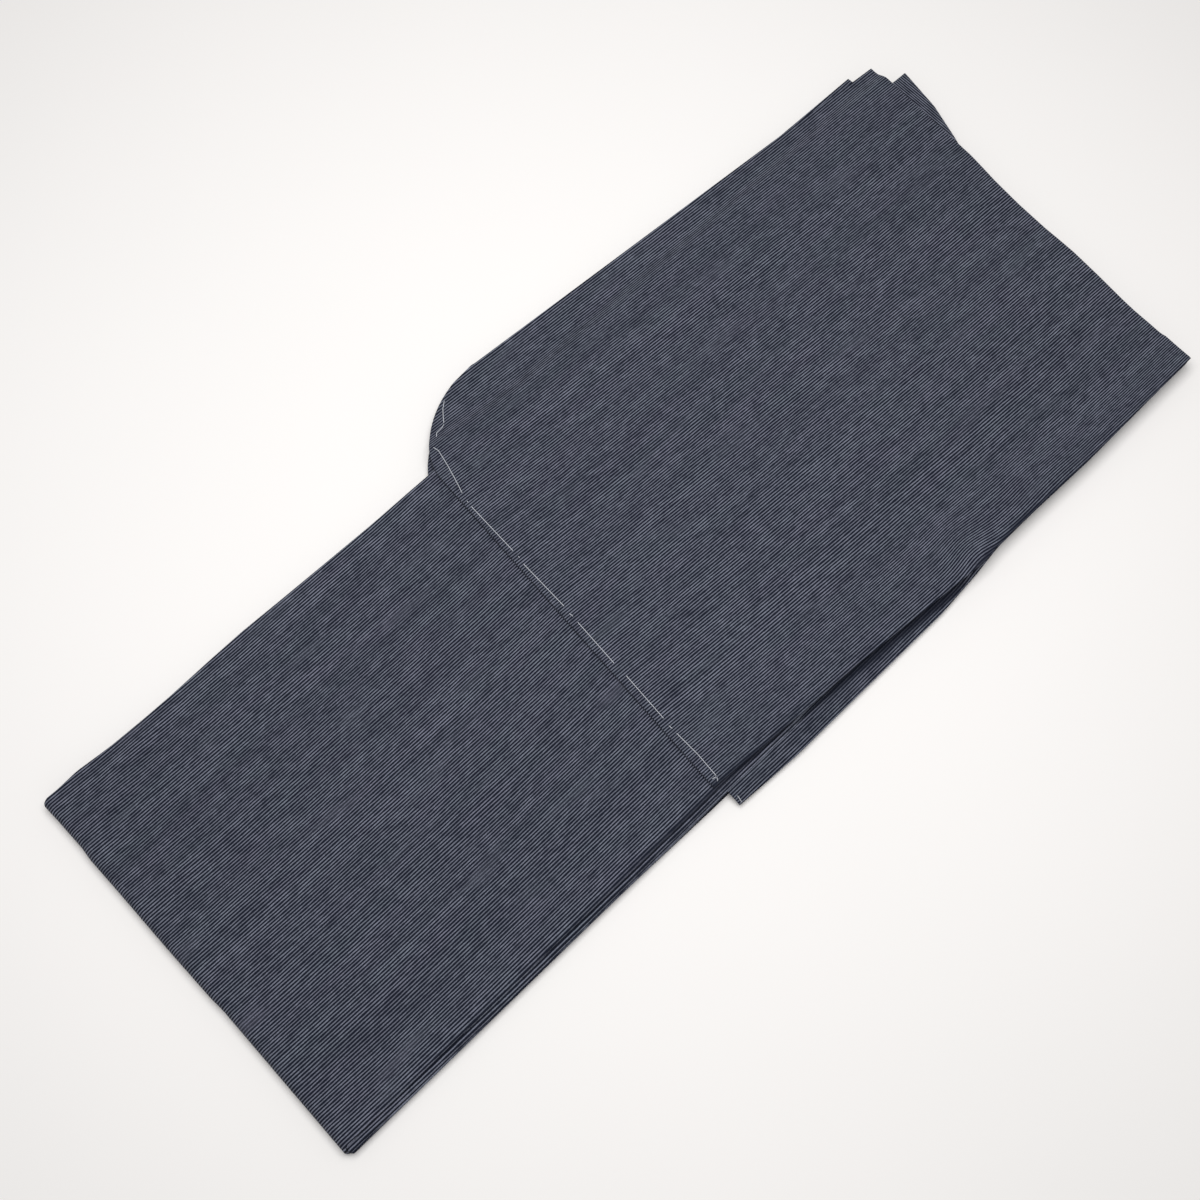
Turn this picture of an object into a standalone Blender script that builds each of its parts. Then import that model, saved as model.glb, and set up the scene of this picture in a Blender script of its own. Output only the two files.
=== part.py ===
"""Cotton yukata robe, folded flat for keeping, at its real size in metres.

The body is folded on its centre back and side seams, so the left back lies on top and the right
back beneath it, with the fronts between them. That long strip is folded once more, crosswise, so
the skirt lies under the upper part. The left sleeve is folded over the top and the right sleeve
lies between the upper part and the skirt.

Places on the garment are given as along and across. Along runs from the crosswise fold to the
shoulders, across runs from the side seams to the centre back. In the frame of the part they are
+X and +Y, +Z is up, and the garment lies on Z = 0 with the middle of its footprint at the origin.
"""

import math
from collections import namedtuple

import bmesh
import bpy
from mathutils import Vector

# Cloth
CLOTH = 0.0010
GAP = 0.0003
INSET = 0.0060

# Body, folded
BODY_WIDTH = 0.3215
SHOULDER = 0.8430
HEM = 0.8260
FRONTS = 2 * CLOTH + GAP
FOLD_OPENING = 0.0012
FOLD_OPENING_REACH = 0.030
FOLD_STEPS = 8
CURL_STEPS = 3
SHOULDER_STEPS = 4
WAVE_START = 0.8000
NECK_START = 0.1950
NECK_BLEND = 0.0250
NECK_EDGE_STEP = 0.0004

# Depths are measured from the plane where the folded halves of the body meet.
RIGHT_BACK_DEPTH = GAP / 2 + CLOTH / 2
FRONTS_DEPTH = GAP / 2 + CLOTH + GAP + FRONTS / 2
LEFT_BACK_DEPTH = FRONTS_DEPTH + FRONTS / 2 + GAP + CLOTH / 2
HALF_STACK = LEFT_BACK_DEPTH + CLOTH / 2

# Sleeves
SLEEVE_LENGTH = 0.4960
SLEEVE_ROOM = 2 * CLOTH + 2 * GAP
SLEEVE_STEP = CLOTH + GAP
RAMP_START = 0.2950
RAMP_END = 0.3490
CORNER_LENGTH = 0.0760
CORNER_WIDTH = 0.0600
CORNER_POWER = 1.8
CUFF_STEP_REACH = 0.0060
SIDE_SAG_START = -0.0040
SIDE_SAG_END = -0.0160
SLEEVE_TURN_STEPS = 4
SLEEVE_PRESSED_ENDS = 0.020
SLEEVE_PRESSED_SIDES = 0.03

# Collar
COLLAR_TIP = 0.8800
COLLAR_END = 0.2250
COLLAR_FOLD = 0.3186
COLLAR_SAG = 0.0025
COLLAR_FLAT = (COLLAR_END, 0.245, 0.270, 0.295)
COLLAR_ROW_STEPS = 4

# Looks
COTTON_COLOUR = (0.065, 0.074, 0.098, 1.0)
COTTON_ROUGHNESS = 0.9

FoldEnd = namedtuple("FoldEnd", "across along")
NearEdge = namedtuple("NearEdge", "along left_back fronts right_back")
EndEdge = namedtuple("EndEdge", "across left_back fronts right_back")
FarEdge = namedtuple("FarEdge", "along out")
Pressed = namedtuple("Pressed", "across inwards")
SleeveEdge = namedtuple("SleeveEdge", "along across")
CollarEdge = namedtuple("CollarEdge", "across inner outer")
Crease = namedtuple("Crease", "along_1 across_1 along_2 across_2 width height")
Sleeve = namedtuple(
    "Sleeve",
    "name base near_edge cuff_start cuff_end cuff_step cuff_fall side_drop lengths widths creases puff",
)

# The crosswise fold bows out a little in the middle and has two small steps.
FOLD_LINE = (
    FoldEnd(across=0.000, along=0.0010),
    FoldEnd(across=0.129, along=0.0012),
    FoldEnd(across=0.140, along=0.0003),
    FoldEnd(across=0.190, along=-0.0004),
    FoldEnd(across=0.240, along=-0.0005),
    FoldEnd(across=0.270, along=-0.0009),
    FoldEnd(across=0.280, along=0.0000),
    FoldEnd(across=0.306, along=0.0007),
    FoldEnd(across=0.3215, along=0.0018),
)

# The side seams don't lie quite on each other, so each layer shows past the one above it.
UPPER_SIDE = (
    NearEdge(along=0.000, left_back=0.0068, fronts=0.0030, right_back=0.0008),
    NearEdge(along=0.150, left_back=0.0066, fronts=0.0034, right_back=0.0004),
    NearEdge(along=0.345, left_back=0.0052, fronts=0.0026, right_back=0.0000),
    NearEdge(along=0.480, left_back=0.0010, fronts=0.0010, right_back=-0.0012),
    NearEdge(along=0.620, left_back=-0.0085, fronts=-0.0060, right_back=-0.0085),
    NearEdge(along=0.845, left_back=-0.0090, fronts=-0.0062, right_back=-0.0085),
)
LOWER_SIDE = (
    NearEdge(along=0.000, left_back=0.0010, fronts=0.0016, right_back=0.0004),
    NearEdge(along=0.240, left_back=0.0006, fronts=0.0010, right_back=0.0002),
    NearEdge(along=0.345, left_back=-0.0014, fronts=-0.0006, right_back=-0.0010),
    NearEdge(along=0.600, left_back=0.0006, fronts=0.0016, right_back=0.0004),
    NearEdge(along=0.830, left_back=0.0020, fronts=0.0030, right_back=0.0012),
)

# The centre back bows out a little between the crosswise fold and the sleeve.
FAR_EDGE = (
    FarEdge(along=0.000, out=0.0014),
    FarEdge(along=0.014, out=0.0030),
    FarEdge(along=0.031, out=0.0036),
    FarEdge(along=0.060, out=0.0015),
    FarEdge(along=0.087, out=0.0010),
    FarEdge(along=0.112, out=0.0010),
    FarEdge(along=0.149, out=0.0022),
    FarEdge(along=0.180, out=0.0028),
    FarEdge(along=0.215, out=0.0020),
    FarEdge(along=0.260, out=0.0012),
    FarEdge(along=0.340, out=0.0000),
)

# Upper ends: the shoulders, cut away round the neck. Lower ends: the hems.
SHOULDER_LINE = (
    EndEdge(across=-0.010, left_back=SHOULDER, fronts=0.8408, right_back=0.8426),
    EndEdge(across=0.190, left_back=SHOULDER, fronts=0.8408, right_back=0.8426),
    EndEdge(across=0.220, left_back=SHOULDER, fronts=0.8075, right_back=0.8426),
    EndEdge(across=0.265, left_back=0.8360, fronts=0.8075, right_back=0.8350),
    EndEdge(across=0.3215, left_back=0.8280, fronts=0.8075, right_back=0.8270),
)
HEM_LINE = (
    EndEdge(across=-0.010, left_back=HEM, fronts=0.8225, right_back=0.8245),
    EndEdge(across=0.160, left_back=HEM + 0.0015, fronts=0.8240, right_back=0.8250),
    EndEdge(across=0.3215, left_back=HEM, fronts=0.8220, right_back=0.8235),
)

# The shoulders' line isn't straight: it is pressed in by this much.
SHOULDER_WAVE = (
    Pressed(across=-0.010, inwards=0.0000),
    Pressed(across=0.001, inwards=0.0006),
    Pressed(across=0.015, inwards=0.0012),
    Pressed(across=0.030, inwards=0.0024),
    Pressed(across=0.045, inwards=0.0031),
    Pressed(across=0.058, inwards=0.0030),
    Pressed(across=0.085, inwards=0.0019),
    Pressed(across=0.112, inwards=0.0014),
    Pressed(across=0.126, inwards=0.0020),
    Pressed(across=0.141, inwards=0.0029),
    Pressed(across=0.170, inwards=0.0032),
    Pressed(across=0.198, inwards=0.0022),
    Pressed(across=0.212, inwards=0.0010),
    Pressed(across=0.226, inwards=0.0000),
)

LEFT_SLEEVE_SIDE = (
    SleeveEdge(along=0.3445, across=0.0070),
    SleeveEdge(along=0.4210, across=0.0020),
    SleeveEdge(along=0.4770, across=-0.0004),
    SleeveEdge(along=0.5400, across=-0.0060),
    SleeveEdge(along=0.6200, across=-0.0106),
    SleeveEdge(along=0.7200, across=-0.0110),
    SleeveEdge(along=0.8410, across=-0.0104),
)
RIGHT_SLEEVE_SIDE = (
    SleeveEdge(along=0.3510, across=-0.0130),
    SleeveEdge(along=0.4060, across=-0.0160),
    SleeveEdge(along=0.5570, across=-0.0160),
    SleeveEdge(along=0.5980, across=-0.0130),
    SleeveEdge(along=0.6240, across=-0.0100),
    SleeveEdge(along=0.6460, across=-0.0098),
    SleeveEdge(along=0.8420, across=-0.0100),
)

# Beyond the body's far edge the left sleeve steps down onto the right one.
CUFF_STEP = (
    SleeveEdge(along=0.3700, across=0.3400),
    SleeveEdge(along=0.4000, across=0.3365),
    SleeveEdge(along=0.4350, across=0.3300),
    SleeveEdge(along=0.5400, across=0.3292),
    SleeveEdge(along=0.8600, across=0.3288),
)

# The collar's band stands out of the neck and runs down inside the fronts.
COLLAR_LINE = (
    CollarEdge(across=0.2250, inner=0.8080, outer=0.8510),
    CollarEdge(across=0.2450, inner=0.8100, outer=0.8610),
    CollarEdge(across=0.2800, inner=0.8160, outer=0.8730),
    CollarEdge(across=0.3200, inner=0.8230, outer=COLLAR_TIP),
)

# Stations at which the layers are worked out. The top layer has more, to hold its soft creases.
LOWER_STATIONS = (0.020, 0.060, 0.150, 0.300, 0.450, 0.600, 0.750)
UPPER_STATIONS = (0.020, 0.035, 0.060, 0.100, 0.200, 0.295, 0.304, 0.313, 0.322, 0.331, 0.340, 0.349,
                  0.450, 0.600, 0.750)
TOP_EXTRA_STATIONS = (0.047, 0.080, 0.120, 0.140, 0.160, 0.180, 0.220, 0.240, 0.260, 0.278, 0.400,
                      0.525, 0.675, 0.800)
ACROSS_STATIONS = (0.020, 0.070, 0.130, 0.190, 0.220, 0.265, 0.300)
TOP_EXTRA_ACROSS = (0.036, 0.053, 0.088, 0.109, 0.150, 0.170, 0.205, 0.235, 0.250, 0.277, 0.289, 0.310)

# Soft creases of the top layers: a height above zero is a ridge, below zero a trough.
BODY_PUFF = 0.0009
PRESSED_AT_FOLD = (0.012, 0.052)
PRESSED_AT_SLEEVE = (0.275, 0.325)
PRESSED_AT_SIDE = (0.007, 0.037)
PRESSED_AT_CENTRE = (0.3075, 0.3195)
BODY_CREASES = (
    Crease(along_1=0.000, across_1=0.262, along_2=0.116, across_2=0.318, width=0.012, height=-0.0009),
    Crease(along_1=0.010, across_1=0.298, along_2=0.065, across_2=0.312, width=0.016, height=0.0012),
    Crease(along_1=0.020, across_1=0.232, along_2=0.165, across_2=0.290, width=0.016, height=0.0008),
    Crease(along_1=0.090, across_1=0.060, along_2=0.280, across_2=0.078, width=0.024, height=0.0007),
    Crease(along_1=0.140, across_1=0.215, along_2=0.215, across_2=0.150, width=0.026, height=0.0006),
    Crease(along_1=0.262, across_1=0.270, along_2=0.250, across_2=0.130, width=0.014, height=-0.0008),
)
LEFT_SLEEVE_CREASES = (
    Crease(along_1=0.662, across_1=0.034, along_2=0.850, across_2=0.019, width=0.012, height=-0.0007),
    Crease(along_1=0.640, across_1=0.010, along_2=0.850, across_2=0.003, width=0.012, height=0.0009),
    Crease(along_1=0.775, across_1=0.243, along_2=0.860, across_2=0.242, width=0.020, height=0.0009),
    Crease(along_1=0.420, across_1=0.170, along_2=0.600, across_2=0.215, width=0.026, height=0.0006),
)


def smooth(share):
    """Rise softly from 0 to 1."""
    share = min(max(share, 0.0), 1.0)
    return share * share * (3 - 2 * share)


def rise(place, span):
    """Rise softly from 0 to 1 over a span of places."""
    return smooth((place - span[0]) / (span[1] - span[0]))


def read_off(table, key, column, place):
    """Value of a table's column at a place between its rows."""
    rows = sorted(table, key=lambda row: getattr(row, key))
    low = rows[0]
    for high in rows[1:]:
        start = getattr(low, key)
        end = getattr(high, key)
        if place <= end or high is rows[-1]:
            share = min(max((place - start) / (end - start), 0.0), 1.0)
            return getattr(low, column) * (1 - share) + getattr(high, column) * share
        low = high
    return getattr(low, column)


def pressed_in(point):
    """Place of a point once the shoulders' line is pressed in."""
    inwards = read_off(SHOULDER_WAVE, "across", "inwards", point.y)
    return point - Vector((inwards * rise(point.x, (WAVE_START, SHOULDER)), 0.0, 0.0))


def crease_height(crease, along, across):
    """Height that one crease adds at a place: full on its line, fading beside it and at its ends."""
    start = Vector((crease.along_1, crease.across_1))
    run = Vector((crease.along_2, crease.across_2)) - start
    offset = Vector((along, across)) - start
    share = offset.dot(run) / run.length_squared
    past_end = max(-share, share - 1.0, 0.0) * run.length
    beside = (offset - run * share).length
    return crease.height * math.exp(-((beside / crease.width) ** 2) - (past_end / crease.width) ** 2)


def relief(along, across, creases, puff):
    """Height of the softly creased top cloth above the layer that it lies on, never below it."""
    return max(puff + sum(crease_height(crease, along, across) for crease in creases), 0.0)


def body_relief(along, across):
    """Relief of the left back, which is pressed flat at its edges and under the sleeve."""
    free_along = rise(along, PRESSED_AT_FOLD) * (1 - rise(along, PRESSED_AT_SLEEVE))
    free_across = rise(across, PRESSED_AT_SIDE) * (1 - rise(across, PRESSED_AT_CENTRE))
    return free_along * free_across * relief(along, across, BODY_CREASES, BODY_PUFF)


def turn_centre(across):
    """Where the crosswise fold is centred."""
    return read_off(FOLD_LINE, "across", "along", across) + HALF_STACK + FOLD_OPENING / 2


def on_lower_half(along, across, depth):
    """Place in the half of the body that lies on the table."""
    return Vector((along, across, HALF_STACK - depth))


def on_fold(share, across, depth):
    """Place in the crosswise fold, from 0 at the table to 1 on top."""
    angle = math.pi * share
    radius = depth + FOLD_OPENING / 2
    height = HALF_STACK + FOLD_OPENING / 2 - radius * math.cos(angle)
    return Vector((turn_centre(across) - radius * math.sin(angle), across, height))


def on_upper_half(along, across, depth):
    """Place in the upper half, which climbs over the right sleeve and opens a little at the fold."""
    opening = FOLD_OPENING * math.exp(-(((along - turn_centre(across)) / FOLD_OPENING_REACH) ** 2))
    climb = SLEEVE_ROOM * rise(along, (RAMP_START, RAMP_END))
    return Vector((along, across, HALF_STACK + depth + opening + climb))


def section(near, out, stations, depth, seam_depth):
    """Line of a layer from its side seam to the centre back, where it curls to the seam."""
    line = [(near, depth)] + [(across, depth) for across in stations if across > near]
    if seam_depth is None:
        return line + [(COLLAR_FOLD, depth)]
    curl = abs(depth - seam_depth)
    far = BODY_WIDTH - CLOTH / 2 + out
    for step in range(CURL_STEPS + 1):
        angle = math.pi / 2 * step / CURL_STEPS
        across = far - curl * (1 - math.sin(angle))
        line.append((across, seam_depth + (depth - seam_depth) * math.cos(angle)))
    return line


def shoulder_rows(line, ends, depth, front_depth):
    """Rows round the shoulder, where a back panel folds over into its front, up to the neck."""
    middle = (depth + front_depth) / 2
    radius = abs(depth - front_depth) / 2
    rows = []
    for step in range(SHOULDER_STEPS + 1):
        row = []
        for (across, layer), along in zip(line, ends):
            neck = rise(across, (NECK_START, NECK_START + NECK_BLEND))
            angle = math.pi * (1 - neck) * step / SHOULDER_STEPS
            out = radius * (math.sin(angle) - 1) + neck * NECK_EDGE_STEP * step
            down = (middle - depth) * (1 - math.cos(angle))
            row.append(on_upper_half(along + out, across, layer + down))
        rows.append(row)
    return rows


def body_rows(piece, depth, seam_depth=None, front_depth=None, fine=False, inset=0.0):
    """Rows of points of one layer, from its hem round the crosswise fold to its shoulder."""
    upper = sorted(UPPER_STATIONS + (TOP_EXTRA_STATIONS if fine else ()))
    stations = sorted(ACROSS_STATIONS + (TOP_EXTRA_ACROSS if fine else ()))

    def line_at(table, along, out=0.0):
        near = read_off(table, "along", piece, along) + inset
        return section(near, out, stations, depth, seam_depth)

    def end(table, across):
        return read_off(table, "across", piece, across) - inset

    rows = [[on_lower_half(end(HEM_LINE, c), c, d) for c, d in line_at(LOWER_SIDE, HEM)]]
    for along in reversed(LOWER_STATIONS):
        rows.append([on_lower_half(along, c, d) for c, d in line_at(LOWER_SIDE, along)])
    under = line_at(LOWER_SIDE, 0.0)
    over = line_at(UPPER_SIDE, 0.0)
    for step in range(FOLD_STEPS + 1):
        share = step / FOLD_STEPS
        line = [(a[0] * (1 - share) + b[0] * share, a[1]) for a, b in zip(under, over)]
        rows.append([on_fold(share, c, d) for c, d in line])
    for along in upper:
        out = read_off(FAR_EDGE, "along", "out", along)
        rows.append([on_upper_half(along, c, d) for c, d in line_at(UPPER_SIDE, along, out)])
        if fine:
            for point in rows[-1]:
                point.z += body_relief(point.x, point.y)
    line = line_at(UPPER_SIDE, SHOULDER)
    ends = [end(SHOULDER_LINE, across) for across, _ in line]
    if front_depth is None:
        return rows + [[on_upper_half(along, c, d) for along, (c, d) in zip(ends, line)]]
    return rows + shoulder_rows(line, ends, depth, front_depth)


def corner_start(from_cuff):
    """How far the rounded bottom corner holds the sleeve's end back, near its cuff edge."""
    share = min(max((CORNER_WIDTH - from_cuff) / CORNER_WIDTH, 0.0), 1.0)
    return CORNER_LENGTH * (1 - (1 - share**CORNER_POWER) ** (1 / CORNER_POWER))


def sleeve_place(sleeve, length, width):
    """Plan of a point that lies length up from the sleeve's bottom, width of the way to the cuff."""
    share = length / SLEEVE_LENGTH
    first = sleeve.near_edge[0]
    last = sleeve.near_edge[-1]
    near_along = first.along + (last.along - first.along) * share
    near_across = read_off(sleeve.near_edge, "along", "across", near_along)
    cuff = Vector(sleeve.cuff_start).lerp(Vector(sleeve.cuff_end), share)
    return Vector((near_along, near_across)).lerp(cuff, width)


def sleeve_sag(sleeve, along, across):
    """How much lower the sleeve lies beyond the body, and at the side seams."""
    middle = read_off(CUFF_STEP, "along", "across", along)
    step = rise(across, (middle - CUFF_STEP_REACH, middle + CUFF_STEP_REACH)) * sleeve.cuff_step
    fall = rise(across, (middle + CUFF_STEP_REACH, sleeve.cuff_start[1])) * sleeve.cuff_fall
    return step + fall + rise(across, (SIDE_SAG_START, SIDE_SAG_END)) * sleeve.side_drop


def sleeve_rows(sleeve):
    """Rings round a flat sleeve, from its armhole side to its cuff."""
    rows = []
    cuff_width = (Vector(sleeve.cuff_start) - Vector(sleeve.near_edge[0])).length
    for width in sleeve.widths:
        bottom = corner_start((1 - width) * cuff_width)
        lengths = [bottom + (SLEEVE_LENGTH - bottom) * share for share in sleeve.lengths]
        lower = []
        upper = []
        for length in lengths:
            plan = sleeve_place(sleeve, length, width)
            height = sleeve.base - sleeve_sag(sleeve, plan.x, plan.y)
            from_end = min(length - bottom, SLEEVE_LENGTH - length)
            free = smooth(from_end / SLEEVE_PRESSED_ENDS)
            free *= smooth(min(width, 1 - width) / SLEEVE_PRESSED_SIDES)
            swell = free * relief(plan.x, plan.y, sleeve.creases, sleeve.puff)
            lower.append(Vector((plan.x, plan.y, height)))
            upper.append(Vector((plan.x, plan.y, height + SLEEVE_STEP + swell)))
        shoulder_end = end_turn(lower[-1], upper[-1], 1)
        bottom_end = end_turn(upper[0], lower[0], -1)
        rows.append(lower + shoulder_end + upper[::-1] + bottom_end)
    return rows


def end_turn(start, end, way):
    """Points round a folded end, between the two walls that it joins."""
    middle = (start + end) / 2
    radius = (end - start).length / 2
    points = []
    for step in range(1, SLEEVE_TURN_STEPS):
        angle = math.pi * step / SLEEVE_TURN_STEPS
        out = Vector((way * radius * math.sin(angle), 0.0, 0.0))
        points.append(middle + (start - middle) * math.cos(angle) + out)
    return points


def collar_rows():
    """Rows of the collar's band, folded on the centre back, from the neck seam outwards."""
    layer = on_upper_half(SHOULDER, 0.0, FRONTS_DEPTH).z
    radius = SLEEVE_STEP / 2
    arc = [math.pi * step / SLEEVE_TURN_STEPS for step in range(SLEEVE_TURN_STEPS + 1)]
    line = [(across, -radius) for across in COLLAR_FLAT]
    line += [(COLLAR_FOLD - radius + radius * math.sin(angle), -radius * math.cos(angle)) for angle in arc]
    line += [(across, radius) for across in reversed(COLLAR_FLAT)]
    rows = []
    for step in range(COLLAR_ROW_STEPS + 1):
        share = step / COLLAR_ROW_STEPS
        row = []
        for across, height in line:
            inner = read_off(COLLAR_LINE, "across", "inner", across)
            outer = read_off(COLLAR_LINE, "across", "outer", across)
            along = inner + (outer - inner) * share
            sag = COLLAR_SAG * smooth((along - SHOULDER) / (COLLAR_TIP - SHOULDER))
            row.append(Vector((along, across, layer + height - sag)))
        rows.append(row)
    return rows


def cotton(name):
    """Striped navy cotton of one piece, as its plain mean colour."""
    material = bpy.data.materials.new(name)
    material.use_nodes = True
    shader = material.node_tree.nodes["Principled BSDF"]
    shader.inputs["Base Color"].default_value = COTTON_COLOUR
    shader.inputs["Roughness"].default_value = COTTON_ROUGHNESS
    shader.inputs["Metallic"].default_value = 0.0
    return material


def cloth_piece(name, rows, home, parent, thickness=CLOTH, ring=False):
    """A piece of cloth: an open surface through its rows, given a wall of even thickness."""
    grid = bmesh.new()
    points = [[grid.verts.new(pressed_in(point)) for point in row] for row in rows]
    for row, following in zip(points, points[1:]):
        count = len(row) if ring else len(row) - 1
        for index in range(count):
            beside = (index + 1) % len(row)
            grid.faces.new((row[index], row[beside], following[beside], following[index]))
    mesh = bpy.data.meshes.new(name)
    grid.to_mesh(mesh)
    grid.free()
    mesh.shade_smooth()
    mesh.set_sharp_from_angle(angle=math.radians(40))
    piece = bpy.data.objects.new(name, mesh)
    piece.data.materials.append(cotton(name + "_cotton"))
    piece.parent = parent
    home.objects.link(piece)
    wall = piece.modifiers.new("Wall", "SOLIDIFY")
    wall.thickness = thickness
    wall.offset = 0.0
    wall.use_even_offset = True
    return piece


def join_layers(piece, others):
    """Join hidden layers into the piece, as one solid with its edges still in layers."""
    for other in others:
        join = piece.modifiers.new("Join " + other.name, "BOOLEAN")
        join.operation = "UNION"
        join.object = other
        other.hide_render = True
        other.display_type = "WIRE"


def build_body(home, cutters, parent):
    """The two back panels and, between them, the fronts with their overlaps as one solid."""
    left_seam = FRONTS_DEPTH + GAP / 2
    right_seam = FRONTS_DEPTH - GAP / 2
    left_front = FRONTS_DEPTH + (CLOTH + GAP) / 2
    right_front = FRONTS_DEPTH - (CLOTH + GAP) / 2
    left_rows = body_rows("left_back", LEFT_BACK_DEPTH, left_seam, left_front, fine=True)
    right_rows = body_rows("right_back", RIGHT_BACK_DEPTH, right_seam, right_front)
    cloth_piece("left_back", left_rows, home, parent)
    cloth_piece("right_back", right_rows, home, parent)
    fronts = cloth_piece("fronts", body_rows("fronts", left_front), home, parent)
    right = cloth_piece("right_front", body_rows("fronts", right_front), cutters, parent)
    between = body_rows("fronts", FRONTS_DEPTH, inset=INSET)
    overlaps = cloth_piece("overlaps", between, cutters, parent, thickness=CLOTH / 2)
    join_layers(fronts, (right, overlaps))


def build_sleeves(home, parent):
    """The left sleeve over the body, and the right sleeve between the body's folded halves."""
    body_top = on_upper_half(SHOULDER, 0.0, HALF_STACK).z
    skirt_top = HALF_STACK - GAP / 2
    left = Sleeve(
        name="left_sleeve",
        base=body_top + GAP + CLOTH / 2,
        near_edge=LEFT_SLEEVE_SIDE,
        cuff_start=(0.3670, 0.3724),
        cuff_end=(0.8614, 0.3404),
        cuff_step=0.0052,
        cuff_fall=0.0016,
        side_drop=0.0,
        lengths=(0.0, 0.02, 0.05, 0.10, 0.16, 0.22, 0.28, 0.34, 0.41, 0.48, 0.55, 0.60, 0.66, 0.72,
                 0.78, 0.84, 0.89, 0.94, 0.98, 1.0),
        widths=(0.0, 0.02, 0.04, 0.06, 0.085, 0.11, 0.14, 0.20, 0.27, 0.34, 0.41, 0.48, 0.55, 0.61,
                0.66, 0.71, 0.77, 0.82, 0.85, 0.865, 0.88, 0.892, 0.904, 0.916, 0.928, 0.94, 0.952,
                0.964, 0.976, 0.988, 1.0),
        creases=LEFT_SLEEVE_CREASES,
        puff=0.0007,
    )
    right = Sleeve(
        name="right_sleeve",
        base=skirt_top + GAP + CLOTH / 2,
        near_edge=RIGHT_SLEEVE_SIDE,
        cuff_start=(0.3515, 0.3500),
        cuff_end=(0.8430, 0.3480),
        cuff_step=0.0,
        cuff_fall=0.0014,
        side_drop=0.0030,
        lengths=(0.0, 0.05, 0.12, 0.20, 0.30, 0.42, 0.50, 0.56, 0.62, 0.75, 0.88, 1.0),
        widths=(0.0, 0.015, 0.03, 0.05, 0.12, 0.40, 0.70, 0.88, 0.91, 0.94, 0.97, 1.0),
        creases=(),
        puff=0.0,
    )
    for sleeve in (left, right):
        cloth_piece(sleeve.name, sleeve_rows(sleeve), home, parent, ring=True)


def centre_footprint(root, pieces):
    """Move the garment so that the middle of its footprint is at the origin."""
    bpy.context.view_layer.update()
    depsgraph = bpy.context.evaluated_depsgraph_get()
    corners = []
    for piece in pieces:
        corners += [Vector(corner) for corner in piece.evaluated_get(depsgraph).bound_box]
    root.location.x = -(min(c.x for c in corners) + max(c.x for c in corners)) / 2
    root.location.y = -(min(c.y for c in corners) + max(c.y for c in corners)) / 2


def main():
    for item in list(bpy.data.objects):
        bpy.data.objects.remove(item)
    home = bpy.data.collections.new("yukata")
    cutters = bpy.data.collections.new("yukata_joined_layers")
    for collection in (home, cutters):
        bpy.context.scene.collection.children.link(collection)
    root = bpy.data.objects.new("folded_yukata", None)
    home.objects.link(root)
    build_body(home, cutters, root)
    build_sleeves(home, root)
    cloth_piece("collar", collar_rows(), home, root)
    centre_footprint(root, [piece for piece in home.objects if piece.type == "MESH"])


main()
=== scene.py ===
"""Cotton yukata robe, folded flat: its woven cloth, seams, basting thread, light and camera.

Places on the garment are given as along and across, in metres. Along runs from the crosswise fold
to the shoulders and across runs from the side seams to the centre back, as +X and +Y of the part.
Depths are measured from the plane where the folded halves of the body meet.
"""

import math
from collections import namedtuple
from functools import partial

import bmesh
import bpy
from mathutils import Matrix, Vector, noise
from mathutils.bvhtree import BVHTree


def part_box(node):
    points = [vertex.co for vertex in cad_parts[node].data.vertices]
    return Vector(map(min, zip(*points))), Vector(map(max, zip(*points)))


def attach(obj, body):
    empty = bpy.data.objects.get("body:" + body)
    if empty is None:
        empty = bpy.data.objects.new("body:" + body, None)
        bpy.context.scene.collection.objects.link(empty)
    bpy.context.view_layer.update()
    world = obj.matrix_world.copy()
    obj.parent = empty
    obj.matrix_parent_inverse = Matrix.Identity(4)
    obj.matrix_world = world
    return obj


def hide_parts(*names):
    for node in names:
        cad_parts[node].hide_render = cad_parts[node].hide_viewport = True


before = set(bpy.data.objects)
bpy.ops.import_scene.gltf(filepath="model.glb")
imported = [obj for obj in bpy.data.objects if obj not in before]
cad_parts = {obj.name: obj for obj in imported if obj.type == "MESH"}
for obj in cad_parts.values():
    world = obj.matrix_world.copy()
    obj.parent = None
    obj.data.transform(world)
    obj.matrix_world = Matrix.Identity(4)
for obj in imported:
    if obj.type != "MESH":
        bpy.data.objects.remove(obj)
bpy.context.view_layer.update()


def named_rows(columns, *rows):
    """A table whose columns have names."""
    row = namedtuple("Row", columns)
    return tuple(row(*values) for values in rows)


# Cloth: the wall that shows, the solids' wall, the gap between layers, and the wall's round rims
CLOTH = 0.0008
LAYER = 0.0010
GAP = 0.0003
RIM_ROUNDING = 0.3
RIM_ANGLE = 60

# Body, folded: its size, its turns at the fold and the shoulder, and the depths of its layers
BODY_WIDTH = 0.3215
SHOULDER = 0.8430
HEM = 0.8260
FRONTS = 2 * LAYER + GAP
FOLD_OPENING = 0.0012
FOLD_OPENING_REACH = 0.030
FOLD_STEPS = 18
CURL_STEPS = 4
SHOULDER_STEPS = 6
WAVE_START = 0.8000
NECK_START = 0.1950
NECK_BLEND = 0.0250
NECK_EDGE_STEP = 0.0003
RIGHT_BACK_DEPTH = GAP / 2 + LAYER / 2
FRONTS_DEPTH = GAP / 2 + LAYER + GAP + FRONTS / 2
LEFT_BACK_DEPTH = FRONTS_DEPTH + FRONTS / 2 + GAP + LAYER / 2
HALF_STACK = LEFT_BACK_DEPTH + LAYER / 2
LEFT_FRONT_DEPTH = FRONTS_DEPTH + (LAYER + GAP) / 2
RIGHT_FRONT_DEPTH = FRONTS_DEPTH - (LAYER + GAP) / 2
COLLAR_FOLD = 0.3186

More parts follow.
